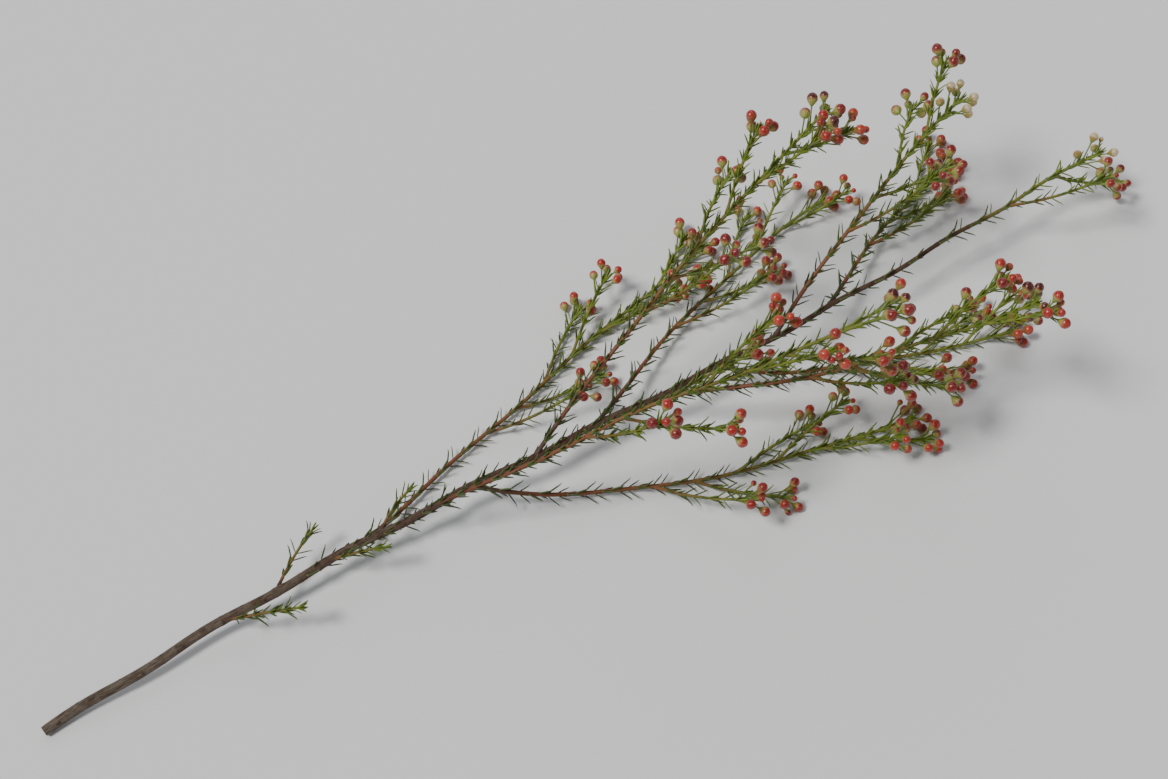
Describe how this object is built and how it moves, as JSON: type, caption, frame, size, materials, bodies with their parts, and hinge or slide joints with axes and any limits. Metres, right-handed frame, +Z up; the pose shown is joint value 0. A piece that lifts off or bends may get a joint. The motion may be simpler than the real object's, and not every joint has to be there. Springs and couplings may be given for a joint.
{
  "type": "waxflower stem",
  "caption": "Cut waxflower stem in bud, lying on its side: woody stem, needle-leaved twigs and loose heads of round waxy buds on thin stalks.",
  "frame": {"origin": "under the middle of the bounding box, on the surface that the stem lies on", "axes": "+X from the cut end towards the flowering tips, +Y across the stem, +Z up from the surface"},
  "size_m": [0.695, 0.2228, 0.153],
  "materials": {
    "bark": "thin grey-brown bark with fine lengthwise cracks, redder and smoother towards the tip",
    "leafy_twig": "olive-green needle leaves and young twigs, slightly waxy, yellower at the tips",
    "bud": "waxy coral-red closed petals on a greenish cup, some pink or cream"
  },
  "bodies": {
    "root": {"main_stem": "bark", "leafy_shoot_1": "leafy_twig", "leafy_shoot_2": "leafy_twig", "leafy_shoot_3": "leafy_twig", "leafy_shoot_4": "leafy_twig", "flowering_spray_1": "leafy_twig", "flowering_spray_2": "leafy_twig", "flowering_spray_3": "leafy_twig", "flowering_spray_4": "leafy_twig", "flowering_spray_5": "leafy_twig", "flowering_spray_6": "leafy_twig", "flowering_spray_7": "leafy_twig", "flowering_spray_8": "leafy_twig", "flowering_spray_9": "leafy_twig", "leader_spray": "leafy_twig"}
  },
  "joints": []
}
